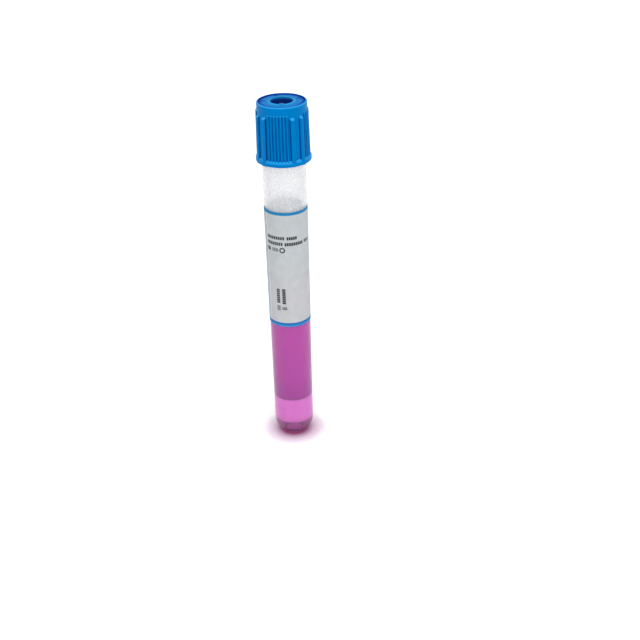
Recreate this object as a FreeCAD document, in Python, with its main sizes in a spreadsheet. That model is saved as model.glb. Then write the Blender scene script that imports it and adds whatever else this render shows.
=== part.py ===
# Specimen tube with a push-in closure, 13 x 100 mm class, standing on its small moulded foot.
# Frame: +Z up, origin at the centre of the foot, -Y is the side that faces the reader of the label.
import FreeCAD, Part
import math
import os
import Sketcher
from FreeCAD import Placement, Rotation, Vector

doc = FreeCAD.newDocument("specimen_tube")

# ---------------------------------------------------------------- driving dimensions (mm, degrees)
DIMENSIONS = {
    # tube: a drafted wall that ends in a ball with a small flat foot
    "tube_length": 100.0,
    "end_radius": 6.07,
    "foot_radius": 2.95,
    "taper": 0.004,
    "wall": 0.95,
    "floor_thickness": 1.2,
    "pole_flat": 0.6,
    "rim_round": 0.3,
    # label: one wrap whose end lies over its start, on a film of adhesive
    "label_bottom": 40.1,
    "label_top": 77.4,
    "label_thickness": 0.08,
    "adhesive": 0.01,
    "overlap_angle": 22.0,
    "overlap_turn": 186.0,
    # liquid
    "liquid_level": 56.8,
    "meniscus_rise": 0.5,
    "meniscus_reach": 1.2,
    # stopper
    "plug_radius": 5.43,
    "plug_bottom": 92.6,
    "plug_lead": 0.6,
    "rim_gap": 0.05,
    "head_radius": 6.55,
    "well_radius": 2.95,
    "well_floor": 102.3,
    "hollow_radius": 3.3,
    "hollow_top": 99.3,
    "hollow_dome": 1.2,
    "neck_gap": 0.05,
    "neck_drop": 0.2,
    # closure shell
    "shell_bottom": 91.65,
    "shell_top": 108.8,
    "skirt_bore": 6.62,
    "mouth_bore": 6.85,
    "mouth_lead": 0.5,
    "flange_radius": 8.05,
    "flange_height": 1.0,
    "flange_slope": 0.65,
    "edge_break": 0.15,
    "root_low_radius": 7.4,
    "root_high_radius": 7.2,
    "root_high": 107.0,
    "shoulder_round": 0.45,
    "recess_radius": 6.7,
    "recess_depth": 0.24,
    "plate_thickness": 1.31,
    "groove_width": 0.35,
    "groove_depth": 0.35,
    "collar_radius": 4.1,
    "collar_height": 0.22,
    "collar_flat": 0.15,
    "hole_radius": 3.25,
    "bead_height": 103.6,
    "bead_depth": 0.2,
    "bead_half_width": 0.4,
    # ribs of the closure shell, in groups that repeat around it
    "group_count": 4,
    "group_turn": -126.4,
    "first_rib_angle": 3.6,
    "fine_count": 7,
    "fine_step": 7.1,
    "fine_radius": 0.3,
    "fine_centre": 7.42,
    "fine_bottom": 93.0,
    "fine_length": 13.2,
    "fine_lean": 0.9,
    "wide_half_angle": 33.5,
    "wide_root": 7.0,
    "wide_crest": 8.05,
    "wide_half_width": 0.7,
    "wide_round": 0.35,
    "wide_bottom": 92.0,
    "wide_length": 13.8,
    "wide_lean": 0.7,
    "wide_slope": 0.8,
    # small marks in the recess of the closure shell
    "dimple_radius": 0.62,
    "dimple_circle": 5.2,
    "dimple_depth": 0.12,
    "dimple_right": 148.4,
    "dimple_back": 232.4,
    "dimple_left": 300.4,
    "tab_half_width": 0.65,
    "tab_reach": 2.1,
    "tab_rise": 0.1,
    "tab_thickness": 0.25,
    "tab_angle": 36.4,
}

sheet = doc.addObject("Spreadsheet::Sheet", "Dimensions")
for row, (alias, value) in enumerate(DIMENSIONS.items(), start=1):
    sheet.set("A%d" % row, alias)
    sheet.set("B%d" % row, str(value))
    sheet.setAlias("B%d" % row, alias)
doc.recompute()


def cell(formula):
    """Turns the aliases in a formula into references to the sheet."""
    words = sorted(DIMENSIONS, key=len, reverse=True)
    marked = formula
    for index, word in enumerate(words):
        marked = marked.replace(word, "<%d>" % index)
    for index, word in enumerate(words):
        marked = marked.replace("<%d>" % index, "Dimensions." + word)
    return marked


def number(formula):
    """The present value of a formula."""
    return float(sheet.evalExpression(cell(formula)))


# heights and radii that follow from the driving dimensions
BALL_CENTRE = "sqrt(end_radius * end_radius - foot_radius * foot_radius)"
INNER_RADIUS = "(end_radius - wall)"
INNER_CENTRE = "(floor_thickness + sqrt((end_radius - wall) * (end_radius - wall) - pole_flat * pole_flat))"
PLATE_TOP = "(shell_top - recess_depth)"
PLATE_BOTTOM = "(shell_top - recess_depth - plate_thickness)"
FLANGE_TOP = "(shell_bottom + flange_height + flange_slope)"


def outer_radius(height):
    return "(end_radius + taper * (%s - %s))" % (height, BALL_CENTRE)


def bore_radius(height):
    return "(%s + taper * (%s - %s))" % (INNER_RADIUS, height, INNER_CENTRE)


# ---------------------------------------------------------------- helpers
def new_body(label):
    body = doc.addObject("PartDesign::Body", label + "_body")
    body.Label = label
    return body


def origin_feature(body, role):
    return next(item for item in body.Origin.OriginFeatures if item.Role == role)


def new_sketch(body, name, plane="XZ_Plane"):
    sketch = body.newObject("Sketcher::SketchObject", name)
    sketch.AttachmentSupport = (origin_feature(body, plane), [""])
    sketch.MapMode = "FlatFace"
    return sketch


def bind(sketch, constraint, formula):
    """Adds a dimension and ties its value to the sheet."""
    index = sketch.addConstraint(constraint)
    sketch.setExpression("Constraints[%d]" % index, cell(formula))


def arc_centre(start, end, radius, side):
    chord = end - start
    left = Vector(-chord.y, chord.x, 0).normalize()
    rise = math.sqrt(max(radius * radius - chord.Length * chord.Length / 4, 0))
    return (start + end) * 0.5 + left * rise * side


def closed_outline(sketch, corners):
    """Draws a closed outline through corners of (x, y) formulas.
    A corner may carry the radius formula of the arc that leaves it, and +1 or -1 for
    the side on which that arc's centre lies (+1 is left of the way along the outline)."""
    points = [Vector(number(corner[0]), number(corner[1]), 0) for corner in corners]
    edges = []
    for index, corner in enumerate(corners):
        start = points[index]
        end = points[(index + 1) % len(points)]
        if len(corner) == 2:
            edges.append((sketch.addGeometry(Part.LineSegment(start, end)), 1, 2))
            continue
        radius, side = number(corner[2]), corner[3]
        centre = arc_centre(start, end, radius, side)
        first, last = (start, end) if side > 0 else (end, start)
        angles = [math.atan2(point.y - centre.y, point.x - centre.x) for point in (first, last)]
        if angles[1] < angles[0]:
            angles[1] += 2 * math.pi
        circle = Part.Circle(centre, Vector(0, 0, 1), radius)
        geometry = sketch.addGeometry(Part.ArcOfCircle(circle, *angles))
        edges.append((geometry, 1, 2) if side > 0 else (geometry, 2, 1))
        bind(sketch, Sketcher.Constraint("Radius", geometry, radius), corner[2])
    for index, (geometry, first, last) in enumerate(edges):
        following, following_first, _ = edges[(index + 1) % len(edges)]
        sketch.addConstraint(Sketcher.Constraint("Coincident", geometry, last, following, following_first))
        for axis, formula, line in zip(("DistanceX", "DistanceY"), corners[index], (-2, -1)):
            value = number(formula)
            if abs(value) < 1e-9:
                sketch.addConstraint(Sketcher.Constraint("PointOnObject", geometry, first, line))
            else:
                bind(sketch, Sketcher.Constraint(axis, -1, 1, geometry, first, value), formula)


def turned(body, name, corners, kind="PartDesign::Revolution"):
    """Turns an outline of (radius, height) formulas about the body's Z axis."""
    sketch = new_sketch(body, name + "_profile")
    closed_outline(sketch, corners)
    feature = body.newObject(kind, name)
    feature.Profile = sketch
    feature.ReferenceAxis = (origin_feature(body, "Z_Axis"), [""])
    feature.Angle = 360
    body.Tip = feature
    doc.recompute()
    return feature


def polar(body, name, count, angle):
    pattern = body.newObject("PartDesign::PolarPattern", name)
    pattern.Axis = (origin_feature(body, "Z_Axis"), [""])
    pattern.setExpression("Occurrences", cell(count))
    pattern.setExpression("Angle", cell(angle))
    return pattern


def repeated(body, feature, name, steps):
    """Repeats a feature by each (count, whole angle) in turn."""
    multi = body.newObject("PartDesign::MultiTransform", name)
    multi.Originals = [feature]
    multi.Transformations = [polar(body, "%s_step_%d" % (name, index + 1), *step)
                             for index, step in enumerate(steps)]
    body.Tip = multi
    doc.recompute()
    return multi


# ---------------------------------------------------------------- tube, one clear moulding
tube = new_body("tube")
turned(tube, "tube_wall", [
    ("0", "0"),
    ("foot_radius", "0", "end_radius", 1),
    ("end_radius", BALL_CENTRE),
    (outer_radius("tube_length"), "tube_length - rim_round", "rim_round", 1),
    (outer_radius("tube_length") + " - rim_round", "tube_length"),
    (bore_radius("tube_length") + " + rim_round", "tube_length", "rim_round", 1),
    (bore_radius("tube_length"), "tube_length - rim_round"),
    (INNER_RADIUS, INNER_CENTRE, INNER_RADIUS, -1),
    ("pole_flat", "floor_thickness"),
    ("0", "floor_thickness"),
])

# ---------------------------------------------------------------- liquid, resting in the rounded end
liquid = new_body("liquid")
turned(liquid, "liquid_fill", [
    ("0", "floor_thickness"),
    ("pole_flat", "floor_thickness", INNER_RADIUS, 1),
    (INNER_RADIUS, INNER_CENTRE),
    (bore_radius("liquid_level + meniscus_rise"), "liquid_level + meniscus_rise"),
    (bore_radius("liquid_level") + " - meniscus_reach", "liquid_level"),
    ("0", "liquid_level"),
])

# ---------------------------------------------------------------- label, a wrap with a short overlap
label = new_body("label")


def label_radius(height, layers):
    return "(%s + adhesive + %s * label_thickness)" % (outer_radius(height), layers)


def lap(name, inside, outside):
    """A turn of label between two radii, counted in layers of its film."""
    return turned(label, name, [
        (label_radius("label_bottom", inside), "label_bottom"),
        (label_radius("label_bottom", outside), "label_bottom"),
        (label_radius("label_top", outside), "label_top"),
        (label_radius("label_top", inside), "label_top"),
    ])


lap("label_wrap", 0, 1)
label_overlap = lap("label_overlap", 0.5, 2)
label_overlap.setExpression("Angle", cell("overlap_angle"))
label.Placement = Placement(Vector(), Rotation(Vector(0, 0, 1), number("overlap_turn")))

# ---------------------------------------------------------------- stopper, moulded rubber
stopper = new_body("stopper")
REST = "tube_length + rim_gap"
turned(stopper, "stopper_form", [
    ("hollow_radius", "plug_bottom"),
    ("plug_radius - plug_lead / 2", "plug_bottom"),
    ("plug_radius", "plug_bottom + plug_lead"),
    ("plug_radius", REST),
    ("head_radius", REST),
    ("head_radius", "bead_height - bead_half_width"),
    ("head_radius - bead_depth", "bead_height"),
    ("head_radius", "bead_height + bead_half_width"),
    ("head_radius", PLATE_BOTTOM),
    ("hole_radius - neck_gap", PLATE_BOTTOM),
    ("hole_radius - neck_gap", PLATE_TOP + " - neck_drop"),
    ("well_radius", PLATE_TOP + " - neck_drop"),
    ("well_radius", "well_floor"),
    ("0", "well_floor"),
    ("0", "hollow_top"),
    ("hollow_radius", "hollow_top - hollow_dome"),
])

# ---------------------------------------------------------------- closure shell, moulded around the stopper
shell = new_body("closure_shell")
turned(shell, "shell_form", [
    ("mouth_bore", "shell_bottom"),
    ("flange_radius - edge_break", "shell_bottom"),
    ("flange_radius", "shell_bottom + edge_break"),
    ("flange_radius", "shell_bottom + flange_height"),
    ("flange_radius - flange_slope / 2", FLANGE_TOP),
    ("root_low_radius", FLANGE_TOP),
    ("root_high_radius", "root_high"),
    ("root_high_radius", "shell_top - shoulder_round", "shoulder_round", 1),
    ("root_high_radius - shoulder_round", "shell_top"),
    ("recess_radius", "shell_top"),
    ("recess_radius", PLATE_TOP + " - groove_depth"),
    ("recess_radius - groove_width", PLATE_TOP + " - groove_depth"),
    ("recess_radius - groove_width", PLATE_TOP),
    ("collar_radius", PLATE_TOP),
    ("hole_radius + collar_flat", PLATE_TOP + " + collar_height"),
    ("hole_radius", PLATE_TOP + " + collar_height"),
    ("hole_radius", PLATE_BOTTOM),
    ("skirt_bore", PLATE_BOTTOM),
    ("skirt_bore", "bead_height + bead_half_width"),
    ("skirt_bore - bead_depth", "bead_height"),
    ("skirt_bore", "bead_height - bead_half_width"),
    ("skirt_bore", "shell_bottom + mouth_lead"),
])

# wide ribs: a rounded bar beside each end of a group of fine ribs
wide_sketch = new_sketch(shell, "wide_rib_section", "XY_Plane")
closed_outline(wide_sketch, [
    ("wide_root", "-wide_half_width"),
    ("wide_crest - wide_round", "-wide_half_width", "wide_round", 1),
    ("wide_crest", "wide_round - wide_half_width"),
    ("wide_crest", "wide_half_width - wide_round", "wide_round", 1),
    ("wide_crest - wide_round", "wide_half_width"),
    ("wide_root", "wide_half_width"),
])
wide_start = number("first_rib_angle + (fine_count - 1) * fine_step / 2 - wide_half_angle")
wide_sketch.AttachmentOffset = Placement(
    Vector(0, 0, number("wide_bottom")), Rotation(wide_start, -number("wide_lean"), 0))
wide_rib = shell.newObject("PartDesign::Pad", "wide_rib")
wide_rib.Profile = wide_sketch
wide_rib.setExpression("Length", cell("wide_length"))
repeated(shell, wide_rib, "wide_ribs", [("2", "2 * wide_half_angle"), ("group_count", "360")])

# the tops of the wide ribs slope back to the shoulder
WIDE_TOP = "(wide_bottom + wide_length)"
turned(shell, "wide_rib_tops", [
    ("root_high_radius + 0.02", WIDE_TOP),
    ("wide_crest", WIDE_TOP + " - wide_slope"),
    ("wide_crest + 1", WIDE_TOP + " - wide_slope"),
    ("wide_crest + 1", WIDE_TOP + " + 1"),
    ("root_high_radius + 0.02", WIDE_TOP + " + 1"),
], "PartDesign::Groove")

# fine ribs: round-ended rods half sunk in the wall, leaning in towards the top
fine_sketch = new_sketch(shell, "fine_rib_section")
closed_outline(fine_sketch, [
    ("0", "0"),
    ("fine_radius", "0"),
    ("fine_radius", "fine_length", "fine_radius", 1),
    ("0.28 * fine_radius", "fine_length + 0.96 * fine_radius"),
    ("0", "fine_length + 0.96 * fine_radius"),
])
first_rib = Rotation(Vector(0, 1, 0), number("first_rib_angle"))
fine_sketch.AttachmentOffset = Placement(
    first_rib.multVec(Vector(number("fine_centre"), number("fine_bottom"), 0)),
    first_rib * Rotation(Vector(0, 0, 1), number("fine_lean")))
fine_rib = shell.newObject("PartDesign::Revolution", "fine_rib")
fine_rib.Profile = fine_sketch
fine_rib.ReferenceAxis = (fine_sketch, ["V_Axis"])
fine_rib.Angle = 360
repeated(shell, fine_rib, "fine_ribs",
         [("fine_count", "(fine_count - 1) * fine_step"), ("group_count", "360")])

# small round marks in the recess
for angle in ("dimple_right", "dimple_back", "dimple_left"):
    mark_sketch = new_sketch(shell, angle + "_circle", "XY_Plane")
    radius, reach = number("dimple_radius"), number("dimple_circle")
    circle = mark_sketch.addGeometry(Part.Circle(Vector(reach, 0, 0), Vector(0, 0, 1), radius))
    bind(mark_sketch, Sketcher.Constraint("Radius", circle, radius), "dimple_radius")
    bind(mark_sketch, Sketcher.Constraint("DistanceX", -1, 1, circle, 3, reach), "dimple_circle")
    mark_sketch.addConstraint(Sketcher.Constraint("PointOnObject", circle, 3, -1))
    mark_sketch.AttachmentOffset = Placement(
        Vector(0, 0, number(PLATE_TOP)), Rotation(Vector(0, 0, 1), number(angle)))
    mark = shell.newObject("PartDesign::Pocket", angle + "_pocket")
    mark.Profile = mark_sketch
    mark.setExpression("Length", cell("dimple_depth"))
    shell.Tip = mark



def tab_step(name, kind, height, length):
    """The tab's outline, from the hole to the foot of the collar, as a pocket or a pad."""
    sketch = new_sketch(shell, name + "_outline", "XY_Plane")
    closed_outline(sketch, [
        ("tab_reach", "-tab_half_width"),
        ("collar_radius", "-tab_half_width"),
        ("collar_radius", "tab_half_width"),
        ("tab_reach", "tab_half_width"),
    ])
    sketch.AttachmentOffset = Placement(
        Vector(0, 0, number(height)), Rotation(Vector(0, 0, 1), number("tab_angle")))
    step = shell.newObject(kind, name)
    step.Profile = sketch
    step.setExpression("Length", cell(length))
    shell.Tip = step


# a slot through the collar on its near side, and a thin tab that reaches from it into the hole
tab_step("tab_slot", "PartDesign::Pocket", PLATE_TOP + " + collar_height", "collar_height - tab_rise")
tab_step("tab", "PartDesign::Pad", PLATE_TOP + " + tab_rise - tab_thickness", "tab_thickness")
shell.Placement = Placement(Vector(), Rotation(Vector(0, 0, 1), number("group_turn")))

# ---------------------------------------------------------------- check and write
doc.recompute()
failed = [item for item in doc.Objects if {"Invalid", "Error"} & set(item.State)]
if failed:
    raise RuntimeError("failed: " + ", ".join(item.Name + " " + item.getStatusString() for item in failed))

os.makedirs("parts", exist_ok=True)
for body in (tube, liquid, label, stopper, shell):
    shape = body.Shape
    if shape.isNull() or not shape.isValid() or len(shape.Solids) != 1:
        raise RuntimeError(body.Label + " has no sound single solid")
    shape.exportStep("parts/%s.step" % body.Label)
    box = shape.optimalBoundingBox(False)
    print("%-14s %8.1f mm3  x %.2f..%.2f  y %.2f..%.2f  z %.2f..%.2f" % (
        body.Label, shape.Volume, box.XMin, box.XMax, box.YMin, box.YMax, box.ZMin, box.ZMax))
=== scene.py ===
import math

import bmesh
import bpy
from mathutils import Matrix, Vector


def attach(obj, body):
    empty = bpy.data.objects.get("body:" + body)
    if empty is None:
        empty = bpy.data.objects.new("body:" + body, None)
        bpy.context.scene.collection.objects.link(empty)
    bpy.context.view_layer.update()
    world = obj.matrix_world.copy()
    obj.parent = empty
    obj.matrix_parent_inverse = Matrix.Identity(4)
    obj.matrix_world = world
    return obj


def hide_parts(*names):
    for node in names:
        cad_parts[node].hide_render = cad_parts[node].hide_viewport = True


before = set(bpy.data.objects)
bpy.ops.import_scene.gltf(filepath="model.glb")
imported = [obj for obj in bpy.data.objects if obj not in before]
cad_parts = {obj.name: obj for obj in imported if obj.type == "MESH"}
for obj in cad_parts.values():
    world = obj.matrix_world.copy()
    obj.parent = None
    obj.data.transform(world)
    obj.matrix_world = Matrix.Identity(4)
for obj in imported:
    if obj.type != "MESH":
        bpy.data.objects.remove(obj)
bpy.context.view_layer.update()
mm = 0.001
print("frame loaded")


# shared helpers

rgba = {"data_type": "RGBA"}
eased = {"interpolation_type": "SMOOTHSTEP"}
noiseLow, noiseHigh = 0.3, 0.7  # nearly all of a noise texture lies between these
cornerShare = 0.49  # a corner is eased over less than half of each edge beside it


def linearColour(hexText):
    channels = [int(hexText[i:i + 2], 16) / 255 for i in (1, 3, 5)]
    return tuple(c / 12.92 if c <= 0.04045 else ((c + 0.055) / 1.055) ** 2.4 for c in channels) + (1.0,)


def addNode(tree, kind, settings=None, values=None, links=None, stops=None):
    node = tree.nodes.new(kind)
    for name, setting in (settings or {}).items():
        setattr(node, name, setting)
    for socket, value in (values or {}).items():
        node.inputs[socket].default_value = value
    for socket, source in (links or {}).items():
        tree.links.new(source, node.inputs[socket])
    if stops:  # a ramp's places and colours, from low to high
        elements = node.color_ramp.elements
        elements[0].position, elements[1].position = stops[0][0], stops[-1][0]
        for place, _ in stops[1:-1]:
            elements.new(place)
        for element, (_, shade) in zip(elements, stops):
            element.color = linearColour(shade)
    return node


def newMaterial(name):
    material = bpy.data.materials.new(name)
    material.use_nodes = True
    material.node_tree.nodes.clear()
    return material, material.node_tree


def finishMaterial(tree, shader):
    addNode(tree, "ShaderNodeOutputMaterial", links={"Surface": shader})


def finishSeeThrough(tree, shader, tint):
    # lamps shine through the piece and take on its tint
    path = addNode(tree, "ShaderNodeLightPath")
    clear = addNode(tree, "ShaderNodeBsdfTransparent", values={"Color": linearColour(tint)})
    mix = addNode(tree, "ShaderNodeMixShader", links={
        0: path.outputs["Is Shadow Ray"], 1: shader, 2: clear.outputs[0]})
    finishMaterial(tree, mix.outputs[0])


def distanceFromAxis(tree, axes):
    flat = addNode(tree, "ShaderNodeCombineXYZ", links={0: axes.outputs[0], 1: axes.outputs[1]})
    reach = addNode(tree, "ShaderNodeVectorMath", {"operation": "LENGTH"}, links={0: flat.outputs[0]})
    return reach.outputs["Value"]


def arcPoints(centre, radius, start, end, steps):
    angles = [math.radians(start + (end - start) * i / steps) for i in range(steps + 1)]
    return [(centre[0] + radius * math.cos(a), centre[1] + radius * math.sin(a)) for a in angles]


def roundedCorners(corners, steps=4):
    # corners of (radius, height, round): each one is eased over its round, as a mould leaves it
    points = []
    for index, (radius, height, ease) in enumerate(corners):
        here = Vector((radius, height))
        if not ease:
            points.append((radius, height))
            continue
        back = Vector(corners[index - 1][:2]) - here
        on = Vector(corners[(index + 1) % len(corners)][:2]) - here
        start = here + back.normalized() * min(ease, back.length * cornerShare)
        end = here + on.normalized() * min(ease, on.length * cornerShare)
        for step in range(steps + 1):
            t = step / steps
            point = start * (1 - t) ** 2 + here * (2 * t * (1 - t)) + end * t * t
            points.append((point.x, point.y))
    return points


def joinLoops(made, pairs):
    # faces between the points of each pair of loops. A loop of one point is a tip
    for low, high in pairs:
        count = max(len(low), len(high))
        for i in range(count):
            j = (i + 1) % count
            corners = [low[i % len(low)], low[j % len(low)], high[j % len(high)], high[i % len(high)]]
            unique = list(dict.fromkeys(corners))
            if len(unique) > 2:
                made.faces.new(unique)


def turnedMesh(name, rows, angles, ring=False):
    # rows of (radius, height) in mm, turned about Z. A row's radius may be a list, one value for each angle
    made = bmesh.new()
    loops = []
    for radius, height in rows:
        if radius == 0:
            loops.append([made.verts.new((0, 0, height * mm))])
            continue
        radii = radius if isinstance(radius, list) else [radius] * len(angles)
        loops.append([made.verts.new((r * math.cos(a) * mm, r * math.sin(a) * mm, height * mm))
                      for r, a in zip(radii, angles)])
    joinLoops(made, zip(loops, loops[1:] + loops[:1] if ring else loops[1:]))
    return pieceFrom(name, made)


def pieceFrom(name, made):
    bmesh.ops.recalc_face_normals(made, faces=made.faces)
    mesh = bpy.data.meshes.new(name)
    made.to_mesh(mesh)
    made.free()
    mesh.shade_smooth()
    piece = bpy.data.objects.new(name, mesh)
    bpy.context.scene.collection.objects.link(piece)
    return piece


def evenAngles(count):
    return [2 * math.pi * i / count for i in range(count)]


def placePiece(piece, body, node, slot, *materials):
    for material in materials:
        piece.data.materials.append(material)
    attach(piece, body)
    if node:
        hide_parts(node)


# tube: drafted wall, rounded end, small flat foot

tube = {
    "length": 100.0, "endRadius": 6.07, "footRadius": 2.95, "footEdge": 0.15, "taper": 0.004, "wall": 0.95,
    "floorThickness": 1.165, "rimRound": 0.3, "rimSteps": 5, "sides": 192, "endSteps": 22,
    "colour": "#FAFAFB", "ior": 1.575, "roughness": 0.015, "shadowTint": "#F2F3F5",
    # mist on the bore: heights and sizes in mm, and shares of white from 0 to 1
    "boreReach": 5.75, "mistBottom": 64.0, "mistFade": 6.0, "mistRoughness": 0.26,
    "mistLow": 0.46, "mistHigh": 0.54, "cloudSize": 1.4,
    "dropSize": 0.32, "dropFrom": 0.58, "dropShare": 0.32,
    "lowColour": "#EEEFF0", "lowEnd": 79.0, "lowStart": 87.0,
}
ballCentre = math.sqrt(tube["endRadius"] ** 2 - tube["footRadius"] ** 2)
boreEnd = tube["endRadius"] - tube["wall"]
boreCentre = tube["floorThickness"] + boreEnd


def outerRadius(height):
    return tube["endRadius"] + tube["taper"] * (height - ballCentre)


def boreRadius(height):
    return boreEnd + tube["taper"] * (height - boreCentre)


def clearPet():
    # PET, injection moulded: hard clear wall, bright at grazing angles
    material, tree = newMaterial("clearPetMoulded")
    place = addNode(tree, "ShaderNodeTexCoord")
    axes = addNode(tree, "ShaderNodeSeparateXYZ", links={0: place.outputs["Object"]})
    # mist on the bore above the liquid: a soft white haze, and bright drops drawn coarse enough to show
    inside = addNode(tree, "ShaderNodeMath", {"operation": "LESS_THAN"}, {1: tube["boreReach"] * mm},
                     {0: distanceFromAxis(tree, axes)})
    above = addNode(tree, "ShaderNodeMapRange", eased, {
        1: (tube["mistBottom"] - tube["mistFade"]) * mm, 2: tube["mistBottom"] * mm}, {0: axes.outputs[2]})
    misted = addNode(tree, "ShaderNodeMath", {"operation": "MULTIPLY"},
                     links={0: inside.outputs[0], 1: above.outputs[0]})
    clouds = addNode(tree, "ShaderNodeTexNoise", values={"Scale": 1 / (tube["cloudSize"] * mm), "Detail": 2.0},
                     links={0: place.outputs["Object"]})
    drops = addNode(tree, "ShaderNodeTexNoise", values={"Scale": 1 / (tube["dropSize"] * mm), "Detail": 1.0},
                    links={0: place.outputs["Object"]})
    soft = addNode(tree, "ShaderNodeMapRange", values={
        1: noiseLow, 2: noiseHigh, 3: tube["mistLow"], 4: tube["mistHigh"]}, links={0: clouds.outputs[0]})
    bright = addNode(tree, "ShaderNodeMapRange", values={
        1: tube["dropFrom"], 2: noiseHigh, 3: 0.0, 4: tube["dropShare"]}, links={0: drops.outputs[0]})
    white = addNode(tree, "ShaderNodeMath", {"operation": "ADD"},
                    links={0: soft.outputs[0], 1: bright.outputs[0]})
    haze = addNode(tree, "ShaderNodeMath", {"operation": "MULTIPLY"},
                   links={0: misted.outputs[0], 1: white.outputs[0]})
    rough = addNode(tree, "ShaderNodeMapRange", values={3: tube["roughness"], 4: tube["mistRoughness"]},
                    links={0: misted.outputs[0]})
    solid = addNode(tree, "ShaderNodeMath", {"operation": "SUBTRACT"}, {0: 1.0}, {1: haze.outputs[0]})
    # the mist is greyer towards the liquid
    lower = addNode(tree, "ShaderNodeMapRange", eased, {
        1: tube["lowEnd"] * mm, 2: tube["lowStart"] * mm, 3: 1.0, 4: 0.0}, {0: axes.outputs[2]})
    grey = addNode(tree, "ShaderNodeMath", {"operation": "MULTIPLY"},
                   links={0: lower.outputs[0], 1: misted.outputs[0]})
    tone = addNode(tree, "ShaderNodeMix", rgba, {
        6: linearColour(tube["colour"]), 7: linearColour(tube["lowColour"])}, {0: grey.outputs[0]})
    body = addNode(tree, "ShaderNodeBsdfPrincipled", values={"IOR": tube["ior"]}, links={
        "Base Color": tone.outputs[2], "Roughness": rough.outputs[0], "Transmission Weight": solid.outputs[0]})
    finishSeeThrough(tree, body.outputs[0], tube["shadowTint"])
    return material


footAngle = math.degrees(math.asin(ballCentre / tube["endRadius"]))
rim = tube["rimRound"]
mouthOut = outerRadius(tube["length"] - rim)
mouthIn = boreRadius(tube["length"] - rim)
tubeRows = (
    [(0, 0), (tube["footRadius"] - tube["footEdge"], 0)]
    + arcPoints((0, ballCentre), tube["endRadius"], -footAngle, 0, tube["endSteps"])
    + [(outerRadius(h), h) for h in (20, 40, 60, 80)]
    + arcPoints((mouthOut - rim, tube["length"] - rim), rim, 0, 90, tube["rimSteps"])
    + arcPoints((mouthIn + rim, tube["length"] - rim), rim, 90, 180, tube["rimSteps"])
    + [(boreRadius(h), h) for h in (80, 60, 40, 20)]
    + arcPoints((0, boreCentre), boreEnd, 0, -90, tube["endSteps"])[:-1]
    + [(0, tube["floorThickness"])]
)
tubeWall = turnedMesh("tubeWall", tubeRows, evenAngles(tube["sides"]))
placePiece(tubeWall, "vial", "tube", "clear_plastic", clearPet())
print("tube built")


# liquid: tinted transport medium that wets the wall

liquid = {
    "level": 56.8, "climb": 0.5, "climbPower": 2.6, "climbSteps": 8, "reach": 1.2, "wetting": 0.02,
    "bodyRows": (20, 35, 50), "surfaceRow": 0.5, "sides": 160,
    "ior": 1.34, "roughness": 0.03, "specular": 0.1, "shadowTint": "#9A5E92",
    # colours from the foot upwards, and the heights in mm at which they meet. Below colour they are painted
    # light and shade of the table seen through the liquid: low the shaded floor under the end, pale the lit
    # table just behind the tube, edge and the deep shade above it the shadow beyond, fading through middle
    "low": "#B2549F", "endHeight": 4.8, "pale": "#EC80DC", "edgeHeight": 13.7, "edge": "#84307A",
    "shadedDeep": "#9B1D8F", "middle": "#AA289A", "colour": "#B52F9F", "fullHeight": 40.0, "rampSpan": 60.0,
    "speck": 0.5, "speckDark": 0.9, "speckLight": 1.1,
    "endTint": "#F0A4E6", "endClear": 0.5, "footClear": 0.7, "clearRoughness": 0.05,
    "gate": "#EDB8E4", "gateEdge": "#7A3470", "gateRadius": 1.75, "gateLine": 0.4, "gateHeight": 2.4,
}


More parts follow.
